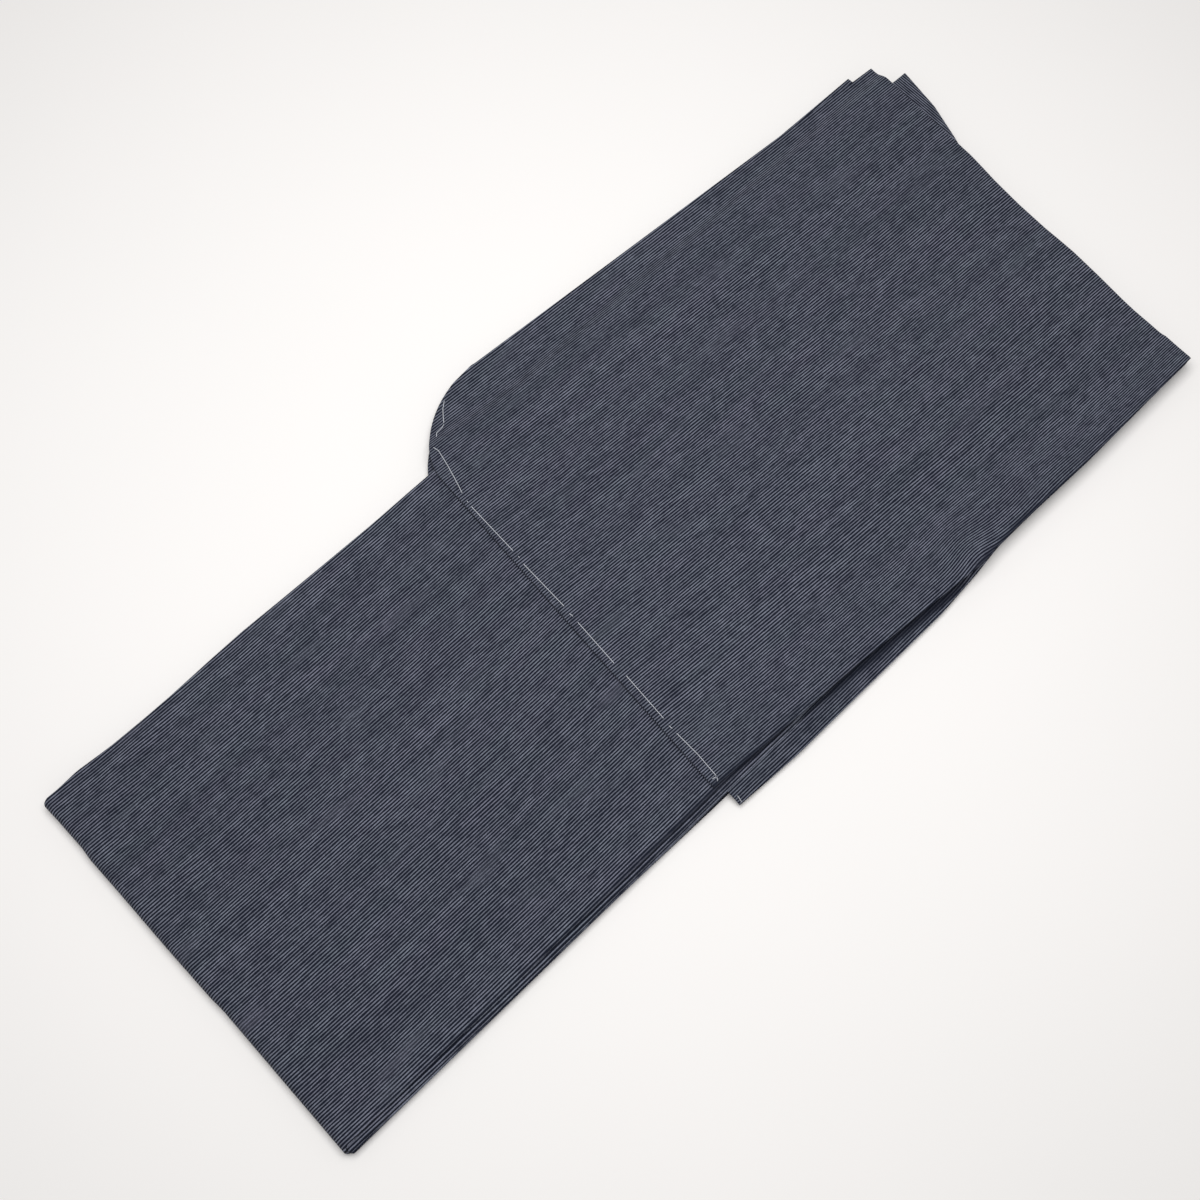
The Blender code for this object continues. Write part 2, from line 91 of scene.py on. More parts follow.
# Sleeves
SLEEVE_LENGTH = 0.4960
SLEEVE_ROOM = 2 * LAYER + 2 * GAP
SLEEVE_STEP = LAYER + GAP
RAMP_START = 0.2950
RAMP_END = 0.3490
CORNER_POWER = 1.8
CUFF_STEP_REACH = 0.0060
SIDE_SAG_START = -0.0040
SIDE_SAG_END = -0.0160
SLEEVE_TURN_STEPS = 6
SLEEVE_PRESSED_ENDS = 0.016
SLEEVE_PRESSED_SIDES = 0.03

# Collar
COLLAR_TIP = 0.8800
COLLAR_SAG = 0.0025
COLLAR_END = 0.2250
COLLAR_ROW_STEPS = 10
COLLAR_FLAT_END = COLLAR_FOLD - 0.004
COLLAR_FLAT_STEP = 0.006

# Rows of points on the cloth: start, end and step of each stretch. The sleeves' are in shares.
ACROSS_FINE_COUNT = 78
ACROSS_ROUGH = (0.0, 0.03, 0.07, 0.15, 0.35, 0.60, 0.85, 0.95, 1.0)
LOWER_STRETCHES = ((0.020, 0.800, 0.026),)
UPPER_FINE_STRETCHES = ((0.012, 0.350, 0.0042), (0.362, 0.818, 0.013))
UPPER_ROUGH_STRETCHES = ((0.016, 0.290, 0.017), (0.299, 0.350, 0.0064), (0.370, 0.795, 0.023))
SLEEVE_STRETCHES = ((0.0, 0.06, 0.01), (0.07, 0.93, 0.0095), (0.94, 1.0, 0.01))
LEFT_WIDTHS = ((0.0, 0.024, 0.003), (0.032, 0.12, 0.008), (0.133, 0.84, 0.0135), (0.848, 1.0, 0.0075))
RIGHT_WIDTHS = ((0.0, 0.06, 0.005), (0.12, 0.84, 0.08), (0.86, 1.0, 0.014))

# Basting thread: two plies twisted together
PLIES = 2
PLY_RADIUS = 0.00017
PLY_OFFSET = 0.00014
PLY_SIDES = 6
TWIST_PITCH = 0.0014
THREAD_STEP = 0.00035
THREAD_DIP = 0.0012
THREAD_DIP_LENGTH = 0.0011
ABOVE_ALL = 1.0

# Camera, fitted to the photo
CAMERA_ALONG = 0.1360
CAMERA_ACROSS = -0.0950
CAMERA_HEIGHT = 1.0710
CAMERA_TILT = 18.57
CAMERA_TURN = -43.81
CAMERA_LENS = 46.27
CAMERA_SENSOR = 36.0

# Studio
KEY_PLACE = (0.0, 0.07, 1.25)
KEY_AIM = (0.0, 0.02, 0.0)
KEY_SIZE = 1.05
KEY_POWER = 14.7
SURROUND = 0.32
STUDIO_WHITE = "FFFFFF"
FLOOR_REACH = 6
FLOOR_HEIGHT = -0.0002

Layer = namedtuple("Layer", "name depth near_seam far_seam front_depth")
Sleeve = namedtuple(
    "Sleeve",
    "name base near_edge cuff_start cuff_end corner stripes_from cuff_step cuff_fall side_drop"
    " creases puff",
)

# The crosswise fold bows out a little in the middle and has two small steps.
FOLD_LINE = named_rows(
    "across along",
    (0.000, 0.0010),
    (0.129, 0.0012),
    (0.140, 0.0003),
    (0.190, -0.0004),
    (0.240, -0.0005),
    (0.270, -0.0009),
    (0.280, 0.0000),
    (0.306, -0.0003),
    (0.3215, -0.0009),
)

# The side seams don't lie quite on each other, so each layer shows past the one above it.
UPPER_SIDE = named_rows(
    "along left_back left_front right_front right_back",
    (0.000, 0.0068, 0.0062, 0.0020, 0.0008),
    (0.150, 0.0066, 0.0060, 0.0024, 0.0004),
    (0.345, 0.0052, 0.0046, 0.0018, 0.0000),
    (0.480, 0.0010, 0.0014, 0.0006, -0.0012),
    (0.620, -0.0085, -0.0060, -0.0060, -0.0085),
    (0.845, -0.0090, -0.0062, -0.0062, -0.0085),
)
LOWER_SIDE = named_rows(
    "along left_back left_front right_front right_back",
    (0.000, 0.0010, 0.0012, 0.0012, 0.0004),
    (0.240, 0.0006, 0.0008, 0.0010, 0.0002),
    (0.345, -0.0014, -0.0010, -0.0004, -0.0010),
    (0.600, 0.0006, 0.0014, 0.0014, 0.0004),
    (0.830, 0.0020, 0.0030, 0.0026, 0.0012),
)

# The centre back bows out a little between the crosswise fold and the sleeve.
FAR_EDGE = named_rows(
    "along out",
    (0.000, 0.0026),
    (0.014, 0.0024),
    (0.031, 0.0036),
    (0.060, 0.0015),
    (0.087, 0.0010),
    (0.112, 0.0010),
    (0.149, 0.0022),
    (0.180, 0.0028),
    (0.215, 0.0020),
    (0.260, 0.0012),
    (0.340, 0.0000),
)

# Upper ends: the shoulders, cut away round the neck. Lower ends: the hems.
SHOULDER_LINE = named_rows(
    "across left_back left_front right_front right_back",
    (-0.010, SHOULDER, 0.8408, 0.8408, 0.8426),
    (0.190, SHOULDER, 0.8408, 0.8408, 0.8426),
    (0.220, SHOULDER, 0.8075, 0.8075, 0.8426),
    (0.265, 0.8360, 0.8075, 0.8075, 0.8350),
    (0.3215, 0.8280, 0.8075, 0.8075, 0.8270),
)
HEM_LINE = named_rows(
    "across left_back left_front right_front right_back",
    (-0.010, HEM, 0.8230, 0.8222, 0.8245),
    (0.160, HEM + 0.0015, 0.8246, 0.8238, 0.8250),
    (0.3215, HEM, 0.8226, 0.8218, 0.8235),
)

# The shoulders' line isn't straight: it is pressed in by this much.
SHOULDER_WAVE = named_rows(
    "across inwards",
    (-0.010, 0.0000),
    (0.001, 0.0006),
    (0.016, 0.0010),
    (0.0185, 0.0021),
    (0.030, 0.0024),
    (0.045, 0.0031),
    (0.058, 0.0030),
    (0.085, 0.0019),
    (0.112, 0.0014),
    (0.126, 0.0020),
    (0.141, 0.0029),
    (0.170, 0.0032),
    (0.198, 0.0022),
    (0.212, 0.0010),
    (0.226, 0.0000),
)

LEFT_SLEEVE_SIDE = named_rows(
    "along across",
    (0.3445, 0.0070),
    (0.4210, 0.0020),
    (0.4770, -0.0004),
    (0.5400, -0.0060),
    (0.5900, -0.0104),
    (0.6060, -0.0116),
    (0.6200, -0.0102),
    (0.6460, -0.0103),
    (0.7200, -0.0119),
    (0.8410, -0.0104),
)
RIGHT_SLEEVE_SIDE = named_rows(
    "along across",
    (0.3510, -0.0130),
    (0.4060, -0.0160),
    (0.5570, -0.0160),
    (0.5980, -0.0130),
    (0.6240, -0.0100),
    (0.6460, -0.0098),
    (0.8420, -0.0100),
)

# Beyond the body's far edge the left sleeve steps down onto the right one.
CUFF_STEP = named_rows(
    "along across",
    (0.3700, 0.3400),
    (0.4000, 0.3365),
    (0.4350, 0.3300),
    (0.5400, 0.3292),
    (0.8600, 0.3288),
)

# The collar's band stands out of the neck and runs down inside the fronts.
COLLAR_LINE = named_rows(
    "across inner outer",
    (0.2250, 0.8080, 0.8510),
    (0.2450, 0.8100, 0.8610),
    (0.2800, 0.8160, 0.8730),
    (0.3200, 0.8230, COLLAR_TIP),
)

# Soft creases: a height above zero is a ridge, below zero a trough. Each fades out over three of
# its widths past its ends. Between them the cloth swells and sinks broadly and narrowly.
CREASE_END_WIDTHS = 3
SWELLS = named_rows(
    "along across seed share",
    (0.110, 0.060, 0.0, 0.7),
    (0.045, 0.022, 7.0, 0.3),
)
BODY_SEED = 1.0
LEFT_SLEEVE_SEED = 4.0
BODY_PUFF = 0.0007
BODY_UNEVEN = 0.0006
LOWEST_DIP = -0.00030
PRESSED_AT_FOLD = (0.006, 0.046)
PRESSED_AT_SLEEVE = (0.285, 0.330)
PRESSED_AT_SIDE = (0.006, 0.030)
PRESSED_AT_CENTRE = (0.3075, 0.3195)
BODY_CREASES = named_rows(
    "along_1 across_1 along_2 across_2 width height",
    (-0.002, 0.262, 0.010, 0.267, 0.004, -0.0012),
    (0.010, 0.267, 0.116, 0.313, 0.008, -0.0010),
    (0.010, 0.282, 0.060, 0.306, 0.012, 0.0012),
    (0.020, 0.236, 0.150, 0.288, 0.013, 0.0008),
    (0.120, 0.240, 0.230, 0.270, 0.012, -0.0004),
    (0.090, 0.056, 0.280, 0.080, 0.020, 0.0006),
    (0.040, 0.110, 0.170, 0.095, 0.015, -0.0004),
    (0.140, 0.215, 0.215, 0.150, 0.022, 0.0005),
    (0.330, 0.266, 0.338, 0.205, 0.006, 0.0007),
    (0.322, 0.262, 0.330, 0.225, 0.005, -0.0006),
    (0.262, 0.290, 0.250, 0.130, 0.012, -0.0006),
    (0.275, 0.190, 0.288, 0.100, 0.010, 0.0004),
)
LEFT_SLEEVE_UNEVEN = 0.0005
LEFT_SLEEVE_CREASES = named_rows(
    "along_1 across_1 along_2 across_2 width height",
    (0.400, 0.318, 0.560, 0.316, 0.007, 0.0005),
    (0.662, 0.034, 0.725, 0.0195, 0.006, -0.0008),
    (0.725, 0.0195, 0.850, 0.018, 0.005, -0.0009),
    (0.640, 0.010, 0.850, 0.003, 0.010, 0.0008),
    (0.690, 0.044, 0.850, 0.036, 0.012, 0.0005),
    (0.596, 0.010, 0.640, 0.002, 0.006, -0.0006),
    (0.560, 0.016, 0.650, 0.026, 0.009, 0.0007),
    (0.606, -0.006, 0.634, 0.010, 0.004, 0.0006),
    (0.775, 0.243, 0.860, 0.242, 0.015, 0.0009),
    (0.785, 0.270, 0.860, 0.262, 0.010, -0.0004),
    (0.420, 0.170, 0.600, 0.215, 0.022, 0.0005),
    (0.480, 0.080, 0.640, 0.110, 0.018, -0.0004),
    (0.620, 0.150, 0.760, 0.120, 0.020, 0.0004),
)

# The armhole seam runs from the left sleeve's near side to the shoulder. Past it the stripes
# shift and turn a little, which sets in softly.
ARMHOLE_SEAM = named_rows(
    "along across",
    (0.6300, -0.0100),
    (0.6480, 0.0180),
    (0.6620, 0.0340),
    (0.7250, 0.0195),
    (0.8450, 0.0180),
)
ARMHOLE_STRIPE_SHIFT = 0.0009
ARMHOLE_STRIPE_TURN = -0.012
ARMHOLE_STRIPE_START = (0.640, 0.700)
ARMHOLE_STRIPE_BLEND = 0.034

# How far the stripes have drifted across the cloth by each place along it.
BODY_STRIPE_DRIFT = named_rows(
    "along across",
    (-0.0100, -0.0021),
    (0.0400, -0.0011),
    (0.0900, -0.0004),
    (0.1300, -0.0001),
    (0.1700, 0.0000),
)
SLEEVE_STRIPE_DRIFT = named_rows(
    "along across",
    (0.3500, -0.0012),
    (0.3900, -0.0005),
    (0.4300, -0.0001),
    (0.4700, 0.0000),
    (0.6600, 0.0000),
    (0.7000, -0.0002),
    (0.7400, -0.0006),
    (0.7800, -0.0014),
    (0.8600, -0.0034),
)

# The stripes lie closer in the part of the sleeve next to the armhole.
CLOSER_STRIPES_END = 0.036
CLOSER_STRIPES = 0.08

# A small pucker by the end of the armhole seam pushes the stripes towards the centre back.
PUCKER_ALONG = 0.604
PUCKER_ACROSS = 0.000
PUCKER_REACH = (0.018, 0.022)
PUCKER_PUSH = 0.0042

# Near its side the left sleeve's cloth turns over. Painted shade lies on this turned edge: the pale stripes
# there fade to navy, so hardly any shows.
TURNED_EDGE_SHADE = named_rows(
    "along width",
    (0.345, 0.0028),
    (0.377, 0.0022),
    (0.397, 0.0020),
    (0.413, 0.0014),
    (0.426, 0.0002),
    (0.592, 0.0002),
    (0.601, 0.0030),
    (0.613, 0.0032),
    (0.624, 0.0020),
    (0.645, 0.0032),
    (0.690, 0.0018),
    (0.745, 0.0009),
    (0.842, 0.0005),
)
TURNED_EDGE_SHADE_BLUR = 0.0020
# Strength of all the painted shade, on the sleeves and on the body's layers.
PAINTED_SHADE_STRENGTH = 0.80
TURNED_EDGE_DIP = 0.0004

# The right sleeve's strip beside it gets a painted shadow of the left sleeve, and the nearest edges of the
# body's layers by the sleeve's near corner get painted shade under it: how far across, and where it sets in
# and ends along them.
SHADOW_BESIDE = (-0.0070, -0.0035)
SHADOW_BESIDE_START = (0.420, 0.460)
SHADOW_BESIDE_END = (0.570, 0.600)
# Painted shade on the body layers' near edges under the sleeve's corner, up to this far across.
SHADED_LAYERS = 0.0090
SHADED_LAYERS_START = {
    "left_back": (0.200, 0.310),
    "left_front": (0.338, 0.346),
    "right_back": (0.420, 0.450),
}
SHADED_LAYERS_END = (0.540, 0.590)

# White basting stitches along the left sleeve's bottom and its rounded corner, and the small
# stitch that shows at the near corner of the right sleeve.
LEFT_SLEEVE_BASTING = (
    ((0.4084, 0.3597), (0.4025, 0.3547), (0.3982, 0.3494), (0.3947, 0.3447)),
    ((0.3947, 0.3447), (0.3921, 0.3434), (0.3857, 0.3429), (0.3829, 0.3398)),
    ((0.3748, 0.3346), (0.3758, 0.3290), (0.3728, 0.3159), (0.3689, 0.3018), (0.3656, 0.2913)),
    ((0.3641, 0.2851), (0.3638, 0.2826)),
    ((0.3634, 0.2799), (0.3619, 0.2319)),
    ((0.3618, 0.2269), (0.3617, 0.2244)),
    ((0.3605, 0.2202), (0.3595, 0.1750)),
    ((0.3584, 0.1692), (0.3590, 0.1649)),
    ((0.3583, 0.1604), (0.3558, 0.1194)),
    ((0.3557, 0.1078), (0.3529, 0.0661)),
    ((0.3519, 0.0607), (0.3522, 0.0565)),
    ((0.3520, 0.0530), (0.3520, 0.0315), (0.3505, 0.0114)),
    ((0.3505, 0.0114), (0.3465, 0.0123)),
    ((0.3505, 0.0114), (0.3485, 0.0081)),
)
RIGHT_SLEEVE_BASTING = (
    ((0.3531, -0.0070), (0.3523, -0.0128)),
)

# Indigo cotton, woven in fine stripes from dyed yarn. The stripes' pitch is the real one. The
# yarns, 0.4 mm apart, are too fine to show, so they are drawn at twice that.
STRIPE_PITCH = 0.00205
YARN_PITCH = 0.0008
NAVY_YARN = "151926"
PURPLISH_YARN = "7B7A8C"
GREENISH_YARN = "737C86"

# Patterns of the cloth, in features per metre along and across it. The stripes wander in bows of
# 1250 by 45 mm and of 71 by 29 mm, and each is made of dashes about 12 mm long. Streaks are about
# 170 by 14 mm large, patches 71 by 17 mm and tints 56 by 17 mm.
STRIPE_WANDERS = named_rows("scale reach", ((0.8, 22.0, 1.0), 0.0040), ((14.0, 34.0, 1.0), 0.0010))
DASHES = 85.0
DASHES_APART = 7.31
CLOUDS = named_rows(
    "name scale detail",
    ("streak", (6.0, 70.0, 1.0), 3.0),
    ("patch", (14.0, 60.0, 1.0), 2.0),
    ("tint", (18.0, 60.0, 1.0), 1.0),
)

# Half the width of a stripe where it is thin and thick, and its soft edge, in shares of the pitch.
STRIPE_THIN = 0.14
STRIPE_THICK = 0.25
STRIPE_SOFT_EDGE = 0.08

# How each pattern weakens or strengthens a pale stripe, from its low to its high values.
STRIPE_STRENGTHS = named_rows(
    "pattern low high weak strong",
    ("own", 0.0, 1.0, 0.72, 1.00),
    ("dash", 0.25, 0.75, 0.55, 1.35),
    ("streak", 0.30, 0.70, 0.86, 1.12),
)

# Where the values of the patches lie between these, the stripes blur towards an even pale.
BLURRED_FROM = 0.60
BLURRED_TO = 0.78
MOST_BLURRED = 0.45
BLURRED_PALE = 0.36

# Light and relief that the crossing yarns give the cloth's face, the relief in shares of 0.12 mm.
WEAVE_DARK = 0.93
WEAVE_LIGHT = 1.07
GRAIN_DARK = 0.72
GRAIN_LIGHT = 1.28
FACE_RELIEF = 0.00012
STRIPE_HEIGHT = 0.55
GRAIN_HEIGHT = 0.60
WEAVE_HEIGHT = 0.25

# Basting thread, with fibres that stand 0.4 mm apart, and the floor's paper, mottled every 0.4 m
THREAD_WHITE = "D9DBDF"
THREAD_SHADE = "B9BDC6"
FIBRES = 2600.0
FIBRE_RELIEF = 0.00005
FLOOR_WHITE = "FBF8F6"
FLOOR_SHADE = "F7F5F3"
MOTTLES = 2.5

# From places on the garment to the part's frame, worked out from the solids' boxes
shift = Vector((
    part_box("left_back")[0].x - min(end.along for end in FOLD_LINE),
    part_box("right_sleeve")[0].y - min(edge.across for edge in RIGHT_SLEEVE_SIDE),
    0.0,
))


def smooth(share):
    """Rise softly from 0 to 1."""
    share = min(max(share, 0.0), 1.0)
    return share * share * (3 - 2 * share)


def rise(place, span):
    """Rise softly from 0 to 1 over a span of places."""
    return smooth((place - span[0]) / (span[1] - span[0]))


def spread(start, end, step):
    """Places from start to end, about a step apart."""
    count = max(round((end - start) / step), 1)
    return [start + (end - start) * index / count for index in range(count + 1)]


def stretches(spans):
    """Places of several stretches, each with its own step."""
    return [place for span in spans for place in spread(*span)]


def read_off(table, key, column, place):
    """Value of a table's column at a place between its rows."""
    rows = sorted(table, key=lambda row: getattr(row, key))
    low = rows[0]
    for high in rows[1:]:
        start = getattr(low, key)
        end = getattr(high, key)
        if place <= end or high is rows[-1]:
            share = min(max((place - start) / (end - start), 0.0), 1.0)
            return getattr(low, column) * (1 - share) + getattr(high, column) * share
        low = high
    return getattr(low, column)


def pressed_in(point):
    """Place of a point once the shoulders' line is pressed in."""
    inwards = read_off(SHOULDER_WAVE, "across", "inwards", point.y)
    return point - Vector((inwards * rise(point.x, (WAVE_START, SHOULDER)), 0.0, 0.0))


def crease_height(crease, along, across):
    """Height that one crease adds at a place: full on its line, fading beside it and at its ends."""
    start = Vector((crease.along_1, crease.across_1))
    run = Vector((crease.along_2, crease.across_2)) - start
    offset = Vector((along, across)) - start
    share = offset.dot(run) / run.length_squared
    past_end = max(-share, share - 1.0, 0.0) * run.length
    beside = (offset - run * share).length
    past_end /= CREASE_END_WIDTHS * crease.width
    return crease.height * math.exp(-((beside / crease.width) ** 2) - past_end**2)


def unevenness(along, across, seed):
    """Soft unevenness of cloth that lies on cloth, from -1 to 1."""
    height = 0.0
    for swell in SWELLS:
        place = Vector((along / swell.along, across / swell.across, seed + swell.seed))
        height += swell.share * noise.noise(place)
    return height


def relief(along, across, creases, puff, uneven, seed):
    """Height of the softly creased top cloth above the layer that it lies on."""
    height = puff + sum(crease_height(crease, along, across) for crease in creases)
    return max(height + uneven * unevenness(along, across, seed), LOWEST_DIP)


def body_relief(along, across):
    """Relief of the left back, which is pressed flat at its edges and under the sleeve."""
    free_along = rise(along, PRESSED_AT_FOLD) * (1 - rise(along, PRESSED_AT_SLEEVE))
    free_across = rise(across, PRESSED_AT_SIDE) * (1 - rise(across, PRESSED_AT_CENTRE))
    return free_along * free_across * relief(along, across, BODY_CREASES, BODY_PUFF, BODY_UNEVEN, BODY_SEED)


def turn_centre(across):
    """Where the crosswise fold is centred."""
    return read_off(FOLD_LINE, "across", "along", across) + HALF_STACK + FOLD_OPENING / 2


def on_lower_half(along, across, depth):
    """Place in the half of the body that lies on the table."""
    return Vector((along, across, HALF_STACK - depth))


def on_fold(share, across, depth):
    """Place in the crosswise fold, from 0 at the table to 1 on top."""
    angle = math.pi * share
    radius = depth + FOLD_OPENING / 2
    height = HALF_STACK + FOLD_OPENING / 2 - radius * math.cos(angle)
    return Vector((turn_centre(across) - radius * math.sin(angle), across, height))


def on_upper_half(along, across, depth):
    """Place in the upper half, which climbs over the right sleeve and opens a little at the fold."""
    opening = FOLD_OPENING * math.exp(-(((along - turn_centre(across)) / FOLD_OPENING_REACH) ** 2))
    climb = SLEEVE_ROOM * rise(along, (RAMP_START, RAMP_END))
    return Vector((along, across, HALF_STACK + depth + opening + climb))


def section(layer, near, far, stations):
    """Line across a layer. Its edges curl towards the seams that join it to the next layers."""
    near_curl = abs(layer.depth - layer.near_seam)
    far_curl = 0.0 if layer.far_seam is None else abs(layer.depth - layer.far_seam)
    flat_start = near + near_curl
    flat_end = COLLAR_FOLD if layer.far_seam is None else far - far_curl
    line = []
    for step in range(CURL_STEPS):
        angle = math.pi / 2 * (1 - step / CURL_STEPS)
        across = near + near_curl * (1 - math.sin(angle))
        line.append((across, layer.near_seam + (layer.depth - layer.near_seam) * math.cos(angle)))
    for share in stations:
        line.append((flat_start + (flat_end - flat_start) * share, layer.depth))
    if layer.far_seam is None:
        return line
    for step in range(1, CURL_STEPS + 1):
        angle = math.pi / 2 * step / CURL_STEPS
        across = far - far_curl * (1 - math.sin(angle))
        line.append((across, layer.far_seam + (layer.depth - layer.far_seam) * math.cos(angle)))
    return line


def shoulder_rows(line, ends, depth, front_depth):
    """Rows round the shoulder, where a back panel folds over into its front, up to the neck."""
    middle = (depth + front_depth) / 2
    radius = abs(depth - front_depth) / 2
    rows = []
    for step in range(SHOULDER_STEPS + 1):
        row = []
        for (across, place), along in zip(line, ends):
            neck = rise(across, (NECK_START, NECK_START + NECK_BLEND))
            angle = math.pi * (1 - neck) * step / SHOULDER_STEPS
            out = radius * (math.sin(angle) - 1) + neck * NECK_EDGE_STEP * step
            down = (middle - depth) * (1 - math.cos(angle))
            row.append(on_upper_half(along + out, across, place + down))
        rows.append(row)
    return rows


def body_rows(layer, lower, upper, across, creased):
    """Rows of points of one layer, from its hem round the crosswise fold to its shoulder."""
    far_middle = BODY_WIDTH - LAYER / 2

    def line_at(table, along, far):
        return section(layer, read_off(table, "along", layer.name, along), far, across)

    def end(table, place):
        return read_off(table, "across", layer.name, place)

    rows = [[on_lower_half(end(HEM_LINE, c), c, d) for c, d in line_at(LOWER_SIDE, HEM, far_middle)]]
    for along in reversed(lower):
        rows.append([on_lower_half(along, c, d) for c, d in line_at(LOWER_SIDE, along, far_middle)])
    under = line_at(LOWER_SIDE, 0.0, far_middle)
    over = line_at(UPPER_SIDE, 0.0, far_middle + FAR_EDGE[0].out)
    for step in range(FOLD_STEPS + 1):
        share = step / FOLD_STEPS
        line = [(a[0] * (1 - share) + b[0] * share, a[1]) for a, b in zip(under, over)]
        rows.append([on_fold(share, c, d) for c, d in line])
    for along in upper:
        far = far_middle + read_off(FAR_EDGE, "along", "out", along)
        rows.append([on_upper_half(along, c, d) for c, d in line_at(UPPER_SIDE, along, far)])
        if creased:
            for point in rows[-1]:
                point.z += body_relief(point.x, point.y)
    line = line_at(UPPER_SIDE, SHOULDER, far_middle)
    ends = [end(SHOULDER_LINE, c) for c, _ in line]
    if layer.front_depth is None:
        return rows + [[on_upper_half(along, c, d) for along, (c, d) in zip(ends, line)]]
    return rows + shoulder_rows(line, ends, layer.depth, layer.front_depth)


def cut_of_rows(rows):
    """Place of each point in the piece's flat cut: along the cloth, and across it."""
    middle = len(rows[0]) // 2
    cut = []
    travelled = 0.0
    for index, row in enumerate(rows):
        if index:
            travelled += (row[middle] - rows[index - 1][middle]).length
        places = [row[0].y]
        for before, point in zip(row, row[1:]):
            places.append(places[-1] + (Vector((point.y, point.z)) - Vector((before.y, before.z))).length)
        slip = row[middle].y - places[middle] + read_off(BODY_STRIPE_DRIFT, "along", "across", row[middle].x)
        cut.append([(travelled, place + slip) for place in places])
    return cut


def corner_start(sleeve, from_cuff):
    """How far the rounded bottom corner holds the sleeve's end back, near its cuff edge."""
    length, width = sleeve.corner
    share = min(max((width - from_cuff) / width, 0.0), 1.0)
    return length * (1 - (1 - share**CORNER_POWER) ** (1 / CORNER_POWER))


def sleeve_place(sleeve, length, width):
    """Plan of a point that lies length up from the sleeve's bottom, width of the way to the cuff."""
    share = length / SLEEVE_LENGTH
    first = sleeve.near_edge[0]
    last = sleeve.near_edge[-1]
    near_along = first.along + (last.along - first.along) * share
    near_across = read_off(sleeve.near_edge, "along", "across", near_along)
    cuff = Vector(sleeve.cuff_start).lerp(Vector(sleeve.cuff_end), share)
    return Vector((near_along, near_across)).lerp(cuff, width)


def sleeve_sag(sleeve, along, across):
    """How much lower the sleeve lies beyond the body, and at the side seams."""
    middle = read_off(CUFF_STEP, "along", "across", along)
    step = rise(across, (middle - CUFF_STEP_REACH, middle + CUFF_STEP_REACH)) * sleeve.cuff_step
    fall = rise(across, (middle + CUFF_STEP_REACH, sleeve.cuff_start[1])) * sleeve.cuff_fall
    return step + fall + rise(across, (SIDE_SAG_START, SIDE_SAG_END)) * sleeve.side_drop


def end_turn(start, end, way):
    """Points round a folded end, between the two walls that it joins."""
    middle = (start + end) / 2
    radius = (end - start).length / 2
    points = []
    for step in range(1, SLEEVE_TURN_STEPS):
        angle = math.pi * step / SLEEVE_TURN_STEPS
        out = Vector((way * radius * math.sin(angle), 0.0, 0.0))
        points.append(middle + (start - middle) * math.cos(angle) + out)
    return points


def sleeve_rows(sleeve, length_shares, widths):
    """Rings round a flat sleeve, from its armhole side to its cuff."""
    rows = []
    cuff_width = (Vector(sleeve.cuff_start) - Vector(sleeve.near_edge[0])).length
    for width in widths:
        bottom = corner_start(sleeve, (1 - width) * cuff_width)
        lower = []
        upper = []
        for share in length_shares:
            length = bottom + (SLEEVE_LENGTH - bottom) * share
            plan = sleeve_place(sleeve, length, width)
            height = sleeve.base - sleeve_sag(sleeve, plan.x, plan.y)
            from_end = min(length - bottom, SLEEVE_LENGTH - length)
            free = smooth(from_end / SLEEVE_PRESSED_ENDS)
            free *= smooth(min(width, 1 - width) / SLEEVE_PRESSED_SIDES)
            swell = 0.0
            if sleeve.creases:
                swell = free * relief(
                    plan.x, plan.y, sleeve.creases, sleeve.puff, LEFT_SLEEVE_UNEVEN, LEFT_SLEEVE_SEED
                )
            dip = TURNED_EDGE_DIP * turned_sleeve_edge(plan) if sleeve.creases else 0.0
            lower.append(Vector((plan.x, plan.y, height)))
            upper.append(Vector((plan.x, plan.y, height + SLEEVE_STEP + swell - dip)))
        shoulder_end = end_turn(lower[-1], upper[-1], 1)
        bottom_end = end_turn(upper[0], lower[0], -1)
        rows.append(lower + shoulder_end + upper[::-1] + bottom_end)
    return rows


def pucker(point):
    """How far the small pucker pushes a stripe across the cloth."""
    beside = (point.x - PUCKER_ALONG) / PUCKER_REACH[0]
    inwards = (point.y - PUCKER_ACROSS) / PUCKER_REACH[1]
    return PUCKER_PUSH * math.exp(-(beside**2) - inwards**2)


def turned_sleeve_edge(point):
    """How much painted shade on the left sleeve's turned near edge hides its stripes, from 0 to 1."""
    inwards = point.y - read_off(LEFT_SLEEVE_SIDE, "along", "across", point.x)
    width = read_off(TURNED_EDGE_SHADE, "along", "width", point.x)
    blur = (width - TURNED_EDGE_SHADE_BLUR / 2, width + TURNED_EDGE_SHADE_BLUR / 2)
    return PAINTED_SHADE_STRENGTH * (1 - rise(inwards, blur))


def shadow_beside_left_sleeve(point):
    """How much painted shadow of the left sleeve hides the right sleeve's stripes beside it, from 0 to 1."""
    inwards = point.y - read_off(LEFT_SLEEVE_SIDE, "along", "across", point.x)
    share = rise(inwards, SHADOW_BESIDE) * rise(point.x, SHADOW_BESIDE_START)
    return PAINTED_SHADE_STRENGTH * share * (1 - rise(point.x, SHADOW_BESIDE_END))


def turned_layer_edge(name, point):
    """How much painted shade under the sleeve's near corner hides a body layer's stripes at its near edge,
    from 0 to 1.
    """
    if point.y > SHADED_LAYERS or name not in SHADED_LAYERS_START:
        return 0.0
    start = SHADED_LAYERS_START[name]
    return PAINTED_SHADE_STRENGTH * rise(point.x, start) * (1 - rise(point.x, SHADED_LAYERS_END))


def armhole_shift(length, point):
    """How far a stripe has shifted across the cloth where it lies past the armhole seam."""
    seam = read_off(ARMHOLE_SEAM, "along", "across", point.x)
    past = 1 - rise(point.y, (seam - ARMHOLE_STRIPE_BLEND, seam))
    jump = ARMHOLE_STRIPE_SHIFT + ARMHOLE_STRIPE_TURN * length
    return jump * past * rise(point.x, ARMHOLE_STRIPE_START)


